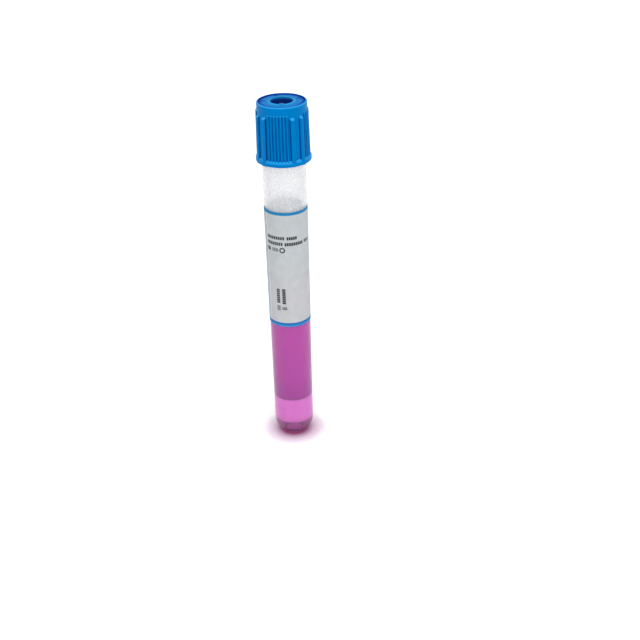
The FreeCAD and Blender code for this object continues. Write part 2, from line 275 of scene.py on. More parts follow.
def tintedLiquid():
    # buffered medium with a dye: slightly cloudy colour, glossy where it meets air, graded by height with
    # painted light and shade
    material, tree = newMaterial("dyedTransportMedium")
    place = addNode(tree, "ShaderNodeTexCoord")
    axes = addNode(tree, "ShaderNodeSeparateXYZ", links={0: place.outputs["Object"]})
    height = addNode(tree, "ShaderNodeMath", {"operation": "MULTIPLY"}, {1: 1 / mm / liquid["rampSpan"]},
                     {0: axes.outputs[2]})
    end, edge = liquid["endHeight"], liquid["edgeHeight"]
    # painted light and shade by height: the table seen through the liquid, lit near the tube and shaded beyond
    shades = ((0.0, "low"), (end, "low"), (end + 0.5, "pale"), (edge - 0.35, "pale"),
              (edge - 0.1, "edge"), (edge + 0.1, "edge"), (edge + 0.5, "shadedDeep"), (edge + 7, "middle"),
              (liquid["fullHeight"], "colour"))
    ramp = addNode(tree, "ShaderNodeValToRGB", links={0: height.outputs[0]},
                   stops=[(at / liquid["rampSpan"], liquid[shade]) for at, shade in shades])
    # the tube's gate mark, seen through the foot: a pale disc in a dark line
    reach = distanceFromAxis(tree, axes)
    onMark, onDisc, lowDown = [
        addNode(tree, "ShaderNodeMath", {"operation": "LESS_THAN"}, {1: limit * mm}, {0: source})
        for limit, source in ((liquid["gateRadius"] + liquid["gateLine"], reach), (liquid["gateRadius"], reach),
                              (liquid["gateHeight"], axes.outputs[2]))]
    marked = addNode(tree, "ShaderNodeMath", {"operation": "MULTIPLY"},
                     links={0: onMark.outputs[0], 1: lowDown.outputs[0]})
    markTone = addNode(tree, "ShaderNodeMix", rgba, {
        6: linearColour(liquid["gateEdge"]), 7: linearColour(liquid["gate"])}, {0: onDisc.outputs[0]})
    toned = addNode(tree, "ShaderNodeMix", rgba, links={
        0: marked.outputs[0], 6: ramp.outputs[0], 7: markTone.outputs[2]})
    # fine cloudiness, as the medium has after shaking
    specks = addNode(tree, "ShaderNodeTexNoise", values={"Scale": 1 / (liquid["speck"] * mm), "Detail": 2.0},
                     links={0: place.outputs["Object"]})
    lift = addNode(tree, "ShaderNodeMapRange", values={
        1: noiseLow, 2: noiseHigh, 3: liquid["speckDark"], 4: liquid["speckLight"]},
        links={0: specks.outputs[0]})
    clouded = addNode(tree, "ShaderNodeMix", {**rgba, "blend_type": "MULTIPLY"}, {0: 1.0},
                      {6: toned.outputs[2], 7: lift.outputs[0]})
    body = addNode(tree, "ShaderNodeBsdfPrincipled", values={
        "Roughness": liquid["roughness"], "IOR": liquid["ior"], "Specular IOR Level": liquid["specular"]},
        links={"Base Color": clouded.outputs[2]})
    # clearer in the rounded end, where the foot and the table show through
    clear = addNode(tree, "ShaderNodeBsdfRefraction", values={
        "Color": linearColour(liquid["endTint"]), "Roughness": liquid["clearRoughness"], "IOR": liquid["ior"]})
    belowEdge = addNode(tree, "ShaderNodeMapRange", eased, {
        1: (edge - 0.3) * mm, 2: (edge + 0.1) * mm, 3: 1.0, 4: 0.0}, {0: axes.outputs[2]})
    footShare = addNode(tree, "ShaderNodeMapRange", eased, {
        1: end * mm, 2: (end + 1) * mm, 3: liquid["footClear"], 4: liquid["endClear"]}, {0: axes.outputs[2]})
    clearPart = addNode(tree, "ShaderNodeMath", {"operation": "MULTIPLY"},
                        links={0: belowEdge.outputs[0], 1: footShare.outputs[0]})
    unmarked = addNode(tree, "ShaderNodeMath", {"operation": "SUBTRACT"}, {0: 1.0}, {1: marked.outputs[0]})
    share = addNode(tree, "ShaderNodeMath", {"operation": "MULTIPLY"},
                    links={0: clearPart.outputs[0], 1: unmarked.outputs[0]})
    within = addNode(tree, "ShaderNodeMixShader", links={
        0: share.outputs[0], 1: body.outputs[0], 2: clear.outputs[0]})
    path = addNode(tree, "ShaderNodeLightPath")
    seen = addNode(tree, "ShaderNodeMixShader", links={
        0: path.outputs["Is Transmission Ray"], 1: body.outputs[0], 2: within.outputs[0]})
    finishSeeThrough(tree, seen.outputs[0], liquid["shadowTint"])
    return material


wet = liquid["wetting"]
surfaceRadius = boreRadius(liquid["level"])
meniscus = []
for step in range(liquid["climbSteps"] + 1):
    t = step / liquid["climbSteps"]
    meniscus.append((surfaceRadius + wet - liquid["reach"] * t,
                     liquid["level"] + liquid["climb"] * (1 - t) ** liquid["climbPower"]))
liquidRows = (
    [(0, tube["floorThickness"] - wet)]
    + arcPoints((0, boreCentre), boreEnd + wet, -90, 0, tube["endSteps"])[1:]
    + [(boreRadius(h) + wet, h) for h in liquid["bodyRows"]]
    + meniscus + [(surfaceRadius * liquid["surfaceRow"], liquid["level"]), (0, liquid["level"])]
)
liquidFill = turnedMesh("liquidFill", liquidRows, evenAngles(liquid["sides"]))
placePiece(liquidFill, "vial", "liquid", "tinted_liquid", tintedLiquid())
print("liquid built")


# label: one lap of film whose end lies over its start

label = {
    "bottom": 40.1, "top": 77.4, "film": 0.08, "start": 186.0, "lap": 382.0, "rise": 3.0, "stepAngle": 1.0,
    "sunk": 0.015,  # the adhesive wets the wall, so the film meets the plastic with no air between
    "lapRoom": 0.004, "sharpAngle": 40,
    "colour": "#CED3D6", "showThroughTint": "#D3D3D6", "lowEase": 7.0, "overTint": "#B4C1CC",
    "cutEdge": "#F0F2F4", "cutTurn": 1.6,
    "mottle": "#B9BEC2", "mottleSize": 2.6, "mottleFrom": 0.32, "mottleTo": 0.68, "mottleShare": 0.42,
    "lineWidth": 0.92, "line": "#0086BF", "bandTop": 41.4, "bandSplit": 40.75, "bandDark": "#0070BE",
    "bandLight": "#2390D4", "printEase": 0.03, "splitEase": 0.12,
    "roughness": 0.5, "ior": 1.49, "specular": 0.32, "through": 0.15, "shadowTint": "#EEEEEE",
}


def labelFilm():
    # polypropylene film with a matt coating: soft grey white, faintly mottled, thin enough to show the liquid
    material, tree = newMaterial("mattLabelFilm")
    place = addNode(tree, "ShaderNodeTexCoord")
    axes = addNode(tree, "ShaderNodeSeparateXYZ", links={0: place.outputs["Object"]})
    turned = addNode(tree, "ShaderNodeMath", {"operation": "ARCTAN2"},
                     links={0: axes.outputs[1], 1: axes.outputs[0]})

    def above(height, ease):
        return addNode(tree, "ShaderNodeMapRange", eased, {
            1: (height - ease) * mm, 2: (height + ease) * mm}, {0: axes.outputs[2]}).outputs[0]

    def turnedPast(degrees):
        return addNode(tree, "ShaderNodeMath", {"operation": "GREATER_THAN"}, {
            1: math.radians(degrees - 360)}, {0: turned.outputs[0]}).outputs[0]

    def layered(under, over, share):
        # under and over are hex colours or the outputs of other nodes
        mix = addNode(tree, "ShaderNodeMix", rgba, links={0: share})
        for socket, colour in ((6, under), (7, over)):
            if isinstance(colour, str):
                mix.inputs[socket].default_value = linearColour(colour)
            else:
                tree.links.new(colour, mix.inputs[socket])
        return mix.outputs[2]

    fibres = addNode(tree, "ShaderNodeTexNoise", values={
        "Scale": 1 / (label["mottleSize"] * mm), "Detail": 5.0}, links={0: place.outputs["Object"]})
    mottle = addNode(tree, "ShaderNodeMapRange", values={
        1: label["mottleFrom"], 2: label["mottleTo"], 3: 0.0, 4: label["mottleShare"]},
        links={0: fibres.outputs[0]})
    # painted light: below the liquid's level the film is tinted faintly warmer, as the liquid shows through it
    paper = layered(label["showThroughTint"], label["colour"], above(liquid["level"], label["lowEase"]))
    paper = paperPlain = layered(paper, label["mottle"], mottle.outputs[0])
    # the lap, two films thick, and the pale cut edge that ends it
    lapEnd = label["start"] + label["lap"] - 360
    paper = layered(paper, label["overTint"], turnedPast(label["start"]))
    paper = layered(paper, label["cutEdge"], turnedPast(lapEnd - label["cutTurn"]))
    paper = layered(paper, paperPlain, turnedPast(lapEnd))
    printed = layered(label["bandDark"], paper, above(label["bandTop"], label["printEase"]))
    printed = layered(label["bandLight"], printed, above(label["bandSplit"], label["splitEase"]))
    printed = layered(printed, label["line"], above(label["top"] - label["lineWidth"], label["printEase"]))
    body = addNode(tree, "ShaderNodeBsdfPrincipled", values={
        "Roughness": label["roughness"], "IOR": label["ior"], "Specular IOR Level": label["specular"]},
        links={"Base Color": printed})
    through = addNode(tree, "ShaderNodeBsdfTranslucent", links={0: printed})
    film = addNode(tree, "ShaderNodeMixShader", values={0: label["through"]},
                   links={1: body.outputs[0], 2: through.outputs[0]})
    finishSeeThrough(tree, film.outputs[0], label["shadowTint"])
    return material


def filmRadius(height, angle):
    # angle in degrees from the film's start. Past a full turn it climbs onto its own start
    lifted = min(max((angle - 360 + label["rise"]) / label["rise"], 0), 1)
    return outerRadius(height) - label["sunk"] + (label["film"] + label["lapRoom"]) * lifted


def labelStrip():
    made = bmesh.new()
    steps = round(label["lap"] / label["stepAngle"])
    sections = []
    for step in range(steps + 1):
        angle = label["lap"] * step / steps
        turn = math.radians(label["start"] + angle)
        section = []
        for height, out in ((label["bottom"], 0), (label["top"], 0), (label["top"], 1), (label["bottom"], 1)):
            radius = filmRadius(height, angle) + out * label["film"]
            section.append(made.verts.new(
                (radius * math.cos(turn) * mm, radius * math.sin(turn) * mm, height * mm)))
        sections.append(section)
    joinLoops(made, zip(sections, sections[1:]))
    made.faces.new(sections[0])
    made.faces.new(sections[-1])
    piece = pieceFrom("wrapLabel", made)
    piece.data.set_sharp_from_angle(angle=math.radians(label["sharpAngle"]))
    return piece


placePiece(labelStrip(), "vial", "label", "label_film", labelFilm())
print("label built")


# print: rows of small plain blocks where a label carries its writing

ink = {
    "thickness": 0.012, "dark": "#15191E", "grey": "#83898D", "roughness": 0.42, "ior": 1.5,
    "worn": "#30363D", "grain": 0.25, "wornFrom": 0.45, "wornTo": 0.8, "wornShare": 0.5,
    "block": 0.54, "gap": 0.13, "rowHeight": 0.98, "columnWidth": 1.05,
    "bend": 0.4, "discSides": 32, "sharpAngle": 30,
    # all in mm. A place along the label is counted from its front
    "rows": [  # start and end along the label, and height of the row's foot
        (-6.85, -0.75, 68.8), (-0.2, 3.0, 68.75), (-6.85, -1.3, 66.98), (-0.8, 5.0, 66.9), (5.5, 7.8, 67.0),
    ],
    "columns": [(-3.45, 52.7, 47.9), (-1.65, 52.8, 47.7)],  # place along the label, and top and bottom
    "darkBlocks": [(-7.05, 64.9, 1.45, 1.1)],  # place along the label, foot, width and height
    "greyBlocks": [(-4.9, 64.92, 2.05, 1.12), (-4.05, 45.5, 1.2, 1.7), (-2.35, 45.8, 0.5, 1.05)],
    "discs": [(-1.62, 65.45, 0.88, 0.5), (-1.3, 46.3, 0.5, 0.0)],  # centre, radius and the hole's radius
}


def printSpot(made, along, height, lift):
    # a point over the label, from its place along it, its height and its lift in mm
    radius = filmRadius(height, 0) + label["film"] + lift
    turn = math.radians(270) + along / radius
    return made.verts.new((radius * math.cos(turn) * mm, radius * math.sin(turn) * mm, height * mm))


def printBlock(made, along, foot, width, tall):
    spans = max(1, math.ceil(width / ink["bend"]))
    outline = ((foot, 0.0), (foot + tall, 0.0), (foot + tall, ink["thickness"]), (foot, ink["thickness"]))
    sections = [[printSpot(made, along + width * step / spans, height, lift) for height, lift in outline]
                for step in range(spans + 1)]
    joinLoops(made, zip(sections, sections[1:]))
    made.faces.new(sections[0])
    made.faces.new(sections[-1])


def printDisc(made, along, height, radius, hole):
    rims = []
    for size, lift in ((radius, 0.0), (radius, ink["thickness"]), (hole, ink["thickness"]), (hole, 0.0)):
        if size:
            rims.append([printSpot(made, along + size * math.cos(a), height + size * math.sin(a), lift)
                         for a in evenAngles(ink["discSides"])])
    if hole:
        joinLoops(made, zip(rims, rims[1:] + rims[:1]))
    else:
        made.faces.new(rims[0])
        made.faces.new(rims[1])
        joinLoops(made, [rims])


def inkMaterial(name, colour):
    # thermal transfer ink: flat and slightly shinier than the film
    material, tree = newMaterial(name)
    place = addNode(tree, "ShaderNodeTexCoord")
    grain = addNode(tree, "ShaderNodeTexNoise", values={"Scale": 1 / (ink["grain"] * mm)},
                    links={0: place.outputs["Object"]})
    wear = addNode(tree, "ShaderNodeMapRange", values={
        1: ink["wornFrom"], 2: ink["wornTo"], 4: ink["wornShare"]}, links={0: grain.outputs[0]})
    tone = addNode(tree, "ShaderNodeMix", rgba, {6: linearColour(colour), 7: linearColour(ink["worn"])},
                   {0: wear.outputs[0]})
    body = addNode(tree, "ShaderNodeBsdfPrincipled", values={"Roughness": ink["roughness"], "IOR": ink["ior"]},
                   links={"Base Color": tone.outputs[2]})
    finishMaterial(tree, body.outputs[0])
    return material


def darkPrint():
    made = bmesh.new()
    pitch = ink["block"] + ink["gap"]
    for start, end, foot in ink["rows"]:
        count = round((end - start) / pitch)
        for i in range(count):
            printBlock(made, start + i * (end - start) / count, foot, ink["block"], ink["rowHeight"])
    for along, top, bottom in ink["columns"]:
        count = round((top - bottom) / pitch)
        for i in range(count):
            printBlock(made, along - ink["columnWidth"] / 2, top - i * (top - bottom) / count - ink["block"],
                       ink["columnWidth"], ink["block"])
    for block in ink["darkBlocks"]:
        printBlock(made, *block)
    for disc in ink["discs"]:
        printDisc(made, *disc)
    return pieceFrom("labelPrintDark", made)


def greyPrint():
    made = bmesh.new()
    for block in ink["greyBlocks"]:
        printBlock(made, *block)
    return pieceFrom("labelPrintGrey", made)


for piece, colour in ((darkPrint(), ink["dark"]), (greyPrint(), ink["grey"])):
    piece.data.set_sharp_from_angle(angle=math.radians(ink["sharpAngle"]))
    placePiece(piece, "vial", None, "label_film", inkMaterial(piece.name + "Ink", colour))
print("print built")


# stopper: moulded rubber plug inside the closure

stopper = {
    "plugRadius": 5.43, "plugBottom": 92.6, "leadIn": 0.3, "leadHeight": 0.6,
    "headBottom": 100.05, "headRadius": 6.55, "headTop": 107.25,
    "wellRadius": 2.95, "wellFloor": 102.3, "wellMiddle": 0.4, "neckRadius": 3.2, "neckTop": 108.36,
    "hollowRadius": 3.3, "hollowTop": 99.3, "hollowShoulder": 0.9, "hollowFall": 1.2,
    "grooveHeight": 103.6, "grooveHalf": 0.4, "grooveDepth": 0.2, "sides": 128, "sharpAngle": 50,
    "colour": "#012472", "dust": "#03308A", "grit": 0.12, "gritDepth": 0.02, "gritShare": 0.25,
    "roughness": 0.6, "ior": 1.52, "specular": 0.15,
}


def butylRubber():
    # bromobutyl rubber, compression moulded: dull, very fine grain, a faint dusty sheen
    material, tree = newMaterial("mouldedButylRubber")
    place = addNode(tree, "ShaderNodeTexCoord")
    grain = addNode(tree, "ShaderNodeTexNoise", values={"Scale": 1 / (stopper["grit"] * mm), "Detail": 4.0},
                    links={0: place.outputs["Object"]})
    tone = addNode(tree, "ShaderNodeMix", rgba, {
        6: linearColour(stopper["colour"]), 7: linearColour(stopper["dust"])}, {0: grain.outputs[0]})
    bump = addNode(tree, "ShaderNodeBump", values={
        "Strength": stopper["gritShare"], "Distance": stopper["gritDepth"] * mm},
        links={"Height": grain.outputs[0]})
    body = addNode(tree, "ShaderNodeBsdfPrincipled", values={
        "Roughness": stopper["roughness"], "IOR": stopper["ior"], "Specular IOR Level": stopper["specular"]},
        links={"Base Color": tone.outputs[2], "Normal": bump.outputs[0]})
    finishMaterial(tree, body.outputs[0])
    return material


def stopperRows():
    hollow, hollowTop = stopper["hollowRadius"], stopper["hollowTop"]
    plug, plugBottom = stopper["plugRadius"], stopper["plugBottom"]
    head, headTop, groove = stopper["headRadius"], stopper["headTop"], stopper["grooveHeight"]
    neck, neckTop = stopper["neckRadius"], stopper["neckTop"]
    well, wellFloor = stopper["wellRadius"], stopper["wellFloor"]
    corners = [  # radius, height and round of each corner, from the hollow down and out, then up to the well
        (hollow - stopper["hollowShoulder"], hollowTop, 0.0),
        (hollow, hollowTop - stopper["hollowFall"], 0.5),
        (hollow, plugBottom, 0.3),
        (plug - stopper["leadIn"], plugBottom, 0.3),
        (plug, plugBottom + stopper["leadHeight"], 0.3),
        (plug, stopper["headBottom"], 0.15),
        (head, stopper["headBottom"], 0.2),
        (head, groove - stopper["grooveHalf"], 0.1),
        (head - stopper["grooveDepth"], groove, 0.15),
        (head, groove + stopper["grooveHalf"], 0.1),
        (head, headTop, 0.1),
        (neck, headTop, 0.0),
        (neck, neckTop, 0.12),
        (well, neckTop, 0.12),
        (well, wellFloor, 0.4),
        (well * stopper["wellMiddle"], wellFloor, 0.0),
    ]
    return [(0, hollowTop)] + roundedCorners(corners) + [(0, wellFloor)]


rubberStopper = turnedMesh("rubberStopper", stopperRows(), evenAngles(stopper["sides"]))
rubberStopper.data.set_sharp_from_angle(angle=math.radians(stopper["sharpAngle"]))
placePiece(rubberStopper, "closure", "stopper", "stopper_rubber", butylRubber())
print("stopper built")


# closure shell: ribs in groups, a flange at the mouth and a recessed top with a hole

shell = {
    "bottom": 91.65, "top": 108.8, "skirtBore": 6.62, "mouthBore": 6.85, "mouthHeight": 0.5,
    "flangeRadius": 8.05, "flangeTop": 92.65, "flangeSlope": 0.65,
    # out and up in mm, from the flange's foot, from its upper edge and from the end of its slope
    "flangeFoot": [(-0.15, 0.0), (-0.04, 0.04), (0.0, 0.15)],
    "flangeEdge": [(0.0, -0.1), (-0.02, 0.0), (-0.08, 0.09)],
    "slopeFoot": [(0.12, -0.01), (0.03, 0.03)],
    "slopeSteps": 5, "slopeIn": 0.35, "slopeEase": 0.12,
    "rootLow": 7.4, "rootHigh": 7.2, "rootHighAt": 107.0, "shoulder": 0.45, "shoulderSteps": 9,
    "recessRadius": 6.7, "recessDepth": 0.24, "plate": 1.31, "grooveWidth": 0.35, "grooveDepth": 0.35,
    "collarRadius": 4.1, "collarHeight": 0.22, "collarFlat": 0.15, "holeRadius": 3.25,
    "beadHeight": 103.6, "beadHalf": 0.4, "beadRise": 0.2,
    "groups": 4, "firstGroup": 258.5, "blend": 0.05,
    "fineCount": 7, "finePitch": 7.1, "fineRadius": 0.3, "fineCentre": 7.42, "fineBottom": 93.0,
    "fineTop": 106.2, "fineLean": 0.9,
    "wideAngle": 33.5, "wideHalf": 0.7, "wideRound": 0.35, "wideCrest": 8.05, "wideBottom": 92.0,
    "wideTop": 105.8, "wideSlope": 0.8, "wideLean": 0.7, "wideOver": 0.05,
    # where the mesh has its columns: in shares of a fine rib's radius, in mm from a wide rib's middle,
    # and in degrees from the middle of a group
    "fineSpread": (0.32, 0.62, 0.85, 0.98, 1.06),
    "wideSpread": (0.15, 0.35, 0.5, 0.6, 0.66, 0.69, 0.7, 0.72, 0.78),
    "plainTurns": (25.5, 27.0, 41.5, 44.0), "groupSeam": 0.01,
    # and its rows, dense where the ribs end
    "lowRows": [93.4, 93.6, 94.2, 95.5, 97, 98.5, 100, 101.5, 103, 104.2, 104.8],
    "denseStart": 104.9, "denseStep": 0.1, "denseCount": 17, "highRows": [106.55, 106.8, 107.2, 107.6, 108.0],
    "dimpleAngles": (22.0, 106.0, 174.0), "dimpleCircle": 5.2, "dimpleRadius": 0.62, "dimpleDepth": 0.12,
    "dimpleSides": 40,
    "tabAngle": 270.0, "tabHalf": 0.65, "tabReach": 2.1, "tabThickness": 0.25, "tabRise": 0.1,
    "tabRoom": 1.0, "tabRoot": 0.1, "tabEdge": 0.06, "sharpAngle": 38,
    "colour": "#007EC8", "cloud": "#0078C0", "cloudSize": 3.5,
    "skin": 0.18, "skinDepth": 0.01, "skinShare": 0.12,
    # this line: painted shade in the narrow grooves between ribs
    "groove": "#003484", "grooveShadeReach": 0.9, "grooveShadeDark": 0.48, "grooveShadeOpen": 0.86,
    # this line and the next: a painted highlight on surfaces that slope up, left off flat tops
    "slope": "#38ACF0", "slopeShare": 0.75, "slopeFrom": 0.25, "slopeTo": 0.8,
    "levelFrom": 0.998, "levelTo": 0.94,
    # this line: painted shade in the ring where the plate meets the rim
    "ring": "#0048AC", "ringStart": 5.45, "ringEnd": 5.9, "ringOver": 0.03, "ringHeight": 1.0,
    "roughness": 0.3, "ior": 1.49, "specular": 0.05, "specularTint": "#30A8FF",
}


def smoothMost(a, b, soft):
    # the larger of two radii, eased where they meet as a mould's corner is
    h = max(soft - abs(a - b), 0) / soft
    return max(a, b) + h * h * soft / 4


def rootRadius(height):
    start = shell["flangeTop"] + shell["flangeSlope"]
    share = min(max((height - start) / (shell["rootHighAt"] - start), 0), 1)
    return shell["rootLow"] + (shell["rootHigh"] - shell["rootLow"]) * share


def fineRibRadius(offset, height):
    reach = shell["fineRadius"]
    over = max(height - shell["fineTop"], 0)
    if over >= reach:
        return 0
    reach = math.sqrt(reach ** 2 - over ** 2)
    centre = shell["fineCentre"] - (height - shell["fineBottom"]) * math.tan(math.radians(shell["fineLean"]))
    side = centre * math.sin(offset)
    if abs(side) >= reach:
        return 0
    return centre * math.cos(offset) + math.sqrt(reach ** 2 - side ** 2)


def wideRibRadius(offset, height):
    if height > shell["wideTop"] + shell["wideOver"]:
        return 0
    crest = shell["wideCrest"] - (height - shell["wideBottom"]) * math.tan(math.radians(shell["wideLean"]))
    fall = (shell["wideCrest"] - shell["rootHigh"]) / shell["wideSlope"]
    crest = min(crest, shell["wideCrest"] - (height - shell["wideTop"] + shell["wideSlope"]) * fall)
    side = abs(crest * math.sin(offset))
    if side > shell["wideHalf"]:
        return 0
    beyond = max(side - shell["wideHalf"] + shell["wideRound"], 0)
    return crest - shell["wideRound"] + math.sqrt(max(shell["wideRound"] ** 2 - beyond ** 2, 0))


def wallRadius(angle, height, base):
    # angle in degrees from the middle of a group
    radius = base
    if height <= shell["fineTop"] + shell["fineRadius"]:
        nearest = round(angle / shell["finePitch"])
        if abs(nearest) <= shell["fineCount"] // 2:
            rib = fineRibRadius(math.radians(angle - nearest * shell["finePitch"]), height)
            radius = smoothMost(radius, rib, shell["blend"])
        side = shell["wideAngle"] if angle > 0 else -shell["wideAngle"]
        radius = smoothMost(radius, wideRibRadius(math.radians(angle - side), height), shell["blend"])
    return radius


def bothSides(places):
    return [side * place for side in (-1, 1) for place in places]


def groupColumns():
    # angles from the middle of a group, dense where a rib rises
    fineSpread = [math.degrees(math.asin(s * shell["fineRadius"] / shell["fineCentre"]))
                  for s in [0] + bothSides(shell["fineSpread"])]
    wideSpread = [math.degrees(math.asin(s / shell["wideCrest"])) for s in bothSides(shell["wideSpread"])]
    half = shell["fineCount"] // 2
    columns = bothSides(shell["plainTurns"])
    for rib in range(-half, half + 1):
        columns += [rib * shell["finePitch"] + s for s in fineSpread]
        if rib < half:
            columns.append((rib + 0.5) * shell["finePitch"])
    for side in (-1, 1):
        columns += [side * shell["wideAngle"] + s for s in wideSpread]
    columns.append(-180 / shell["groups"] + shell["groupSeam"])
    return sorted(columns)


groupSpread = groupColumns()
shellAngles, shellOffsets = [], []
for group in range(shell["groups"]):
    for offset in groupSpread:
        shellAngles.append(math.radians(shell["firstGroup"] + group * 360 / shell["groups"] + offset))
        shellOffsets.append(offset)


def outerRows():
    rim, top = shell["flangeRadius"], shell["flangeTop"]
    slopeEnd = top + shell["flangeSlope"]
    flange = [(rim + out, shell["bottom"] + up) for out, up in shell["flangeFoot"]]
    flange += [(rim + out, top + up) for out, up in shell["flangeEdge"]]
    edgeOut, edgeUp = shell["flangeEdge"][-1]
    for step in range(1, shell["slopeSteps"]):
        t = step / shell["slopeSteps"]
        flange.append((rim + edgeOut - shell["slopeIn"] * t,
                       top + edgeUp + (slopeEnd - top - shell["slopeEase"]) * t))
    flange += [(shell["rootLow"] + out, slopeEnd + up) for out, up in shell["slopeFoot"]]
    rows = [([wallRadius(o, height, base) for o in shellOffsets], height) for base, height in flange]
    dense = [shell["denseStart"] + shell["denseStep"] * i for i in range(shell["denseCount"])]
    for height in shell["lowRows"] + dense + shell["highRows"]:
        rows.append(([wallRadius(o, height, rootRadius(height)) for o in shellOffsets], height))
    rows += arcPoints((shell["rootHigh"] - shell["shoulder"], shell["top"] - shell["shoulder"]),
                      shell["shoulder"], 8, 90, shell["shoulderSteps"])
    return rows


def mouldedPolypropylene():
    # polypropylene, injection moulded and pigmented: waxy satin skin with soft highlights
    material, tree = newMaterial("mouldedPolypropyleneBlue")
    place = addNode(tree, "ShaderNodeTexCoord")
    axes = addNode(tree, "ShaderNodeSeparateXYZ", links={0: place.outputs["Object"]})
    cloud = addNode(tree, "ShaderNodeTexNoise", values={"Scale": 1 / (shell["cloudSize"] * mm), "Detail": 3.0},
                    links={0: place.outputs["Object"]})
    tone = addNode(tree, "ShaderNodeMix", rgba, {
        6: linearColour(shell["colour"]), 7: linearColour(shell["cloud"])}, {0: cloud.outputs[0]})
    skin = addNode(tree, "ShaderNodeTexNoise", values={"Scale": 1 / (shell["skin"] * mm), "Detail": 2.0},
                   links={0: place.outputs["Object"]})
    bump = addNode(tree, "ShaderNodeBump", values={
        "Strength": shell["skinShare"], "Distance": shell["skinDepth"] * mm}, links={"Height": skin.outputs[0]})
    # painted shade: the colour is darkened in the narrow grooves between ribs, where ambient occlusion finds
    # shade
    corner = addNode(tree, "ShaderNodeAmbientOcclusion", {"samples": 8, "only_local": True},
                     {"Distance": shell["grooveShadeReach"] * mm})
    depth = addNode(tree, "ShaderNodeMapRange", values={1: shell["grooveShadeDark"], 2: shell["grooveShadeOpen"]},
                    links={0: corner.outputs["AO"]})
    shaded = addNode(tree, "ShaderNodeMix", rgba, {6: linearColour(shell["groove"])},
                     {0: depth.outputs[0], 7: tone.outputs[2]})
    # painted highlight: surfaces that slope up are painted paler, where light from above shines into them
    facing = addNode(tree, "ShaderNodeSeparateXYZ", links={0: place.outputs["Normal"]})
    rising = addNode(tree, "ShaderNodeMapRange", values={
        1: shell["slopeFrom"], 2: shell["slopeTo"], 4: shell["slopeShare"]}, links={0: facing.outputs[2]})
    level = addNode(tree, "ShaderNodeMapRange", values={1: shell["levelFrom"], 2: shell["levelTo"]},
                    links={0: facing.outputs[2]})
    paleShare = addNode(tree, "ShaderNodeMath", {"operation": "MULTIPLY"},
                        links={0: rising.outputs[0], 1: level.outputs[0]})
    slopeLit = addNode(tree, "ShaderNodeMix", rgba, {7: linearColour(shell["slope"])},
                    {0: paleShare.outputs[0], 6: shaded.outputs[2]})
    # painted shade: darker in the ring where the plate meets the rim, as shade falls behind the rim's inner
    # edge
    reach = distanceFromAxis(tree, axes)
    ringRise = addNode(tree, "ShaderNodeMapRange", eased, {
        1: shell["ringStart"] * mm, 2: shell["ringEnd"] * mm}, {0: reach})
    ringFall = addNode(tree, "ShaderNodeMath", {"operation": "LESS_THAN"}, {
        1: (shell["recessRadius"] + shell["ringOver"]) * mm}, {0: reach})
    onPlate = addNode(tree, "ShaderNodeMath", {"operation": "GREATER_THAN"}, {
        1: (shell["top"] - shell["ringHeight"]) * mm}, {0: axes.outputs[2]})
    ringPart = addNode(tree, "ShaderNodeMath", {"operation": "MULTIPLY"},
                       links={0: ringRise.outputs[0], 1: ringFall.outputs[0]})
    ring = addNode(tree, "ShaderNodeMath", {"operation": "MULTIPLY"},
                   links={0: ringPart.outputs[0], 1: onPlate.outputs[0]})
    ringShaded = addNode(tree, "ShaderNodeMix", rgba, {7: linearColour(shell["ring"])},
                     {0: ring.outputs[0], 6: slopeLit.outputs[2]})
    body = addNode(tree, "ShaderNodeBsdfPrincipled", values={
        "Roughness": shell["roughness"], "IOR": shell["ior"], "Specular IOR Level": shell["specular"],
        "Specular Tint": linearColour(shell["specularTint"])},
        links={"Base Color": ringShaded.outputs[2], "Normal": bump.outputs[0]})
    finishMaterial(tree, body.outputs[0])
    return material


plateTop = shell["top"] - shell["recessDepth"]


def innerRows():
    recess, hole = shell["recessRadius"], shell["holeRadius"]
    bore, bead = shell["skirtBore"], shell["beadHeight"]
    grooveFloor, collarTop = plateTop - shell["grooveDepth"], plateTop + shell["collarHeight"]
    plateBottom = plateTop - shell["plate"]
    return roundedCorners([  # radius, height and round of each corner, from the top's rim in and down
        (recess, shell["top"], 0.12),
        (recess, grooveFloor, 0.08),
        (recess - shell["grooveWidth"], grooveFloor, 0.08),
        (recess - shell["grooveWidth"], plateTop, 0.08),
        (shell["collarRadius"], plateTop, 0.2),
        (hole + shell["collarFlat"], collarTop, 0.1),
        (hole, collarTop, 0.1),
        (hole, plateBottom, 0.05),
        (bore, plateBottom, 0.1),
        (bore, bead + shell["beadHalf"], 0.08),
        (bore - shell["beadRise"], bead, 0.1),
        (bore, bead - shell["beadHalf"], 0.08),
        (bore, shell["bottom"] + shell["mouthHeight"], 0.1),
        (shell["mouthBore"], shell["bottom"], 0.08),
    ])


def boxCutter(name, low, high, turn, edge):
    made = bmesh.new()
    bmesh.ops.create_cube(made, size=1.0)
    for vert in made.verts:
        for axis in range(3):
            vert.co[axis] = (low[axis] + (high[axis] - low[axis]) * (vert.co[axis] + 0.5)) * mm
    if edge:
        bmesh.ops.bevel(made, geom=list(made.edges), offset=edge * mm, segments=3, affect="EDGES",
                        profile=0.5)
    made.transform(Matrix.Rotation(math.radians(turn), 4, "Z"))
    return pieceFrom(name, made)


def discCutter(name, turn):
    made = bmesh.new()
    radius = shell["dimpleRadius"] * mm
    bmesh.ops.create_cone(made, cap_ends=True, segments=shell["dimpleSides"], radius1=radius, radius2=radius,
                          depth=2 * shell["dimpleDepth"] * mm)
    made.transform(Matrix.Rotation(math.radians(turn), 4, "Z")
                   @ Matrix.Translation((shell["dimpleCircle"] * mm, 0, plateTop * mm)))
    return pieceFrom(name, made)


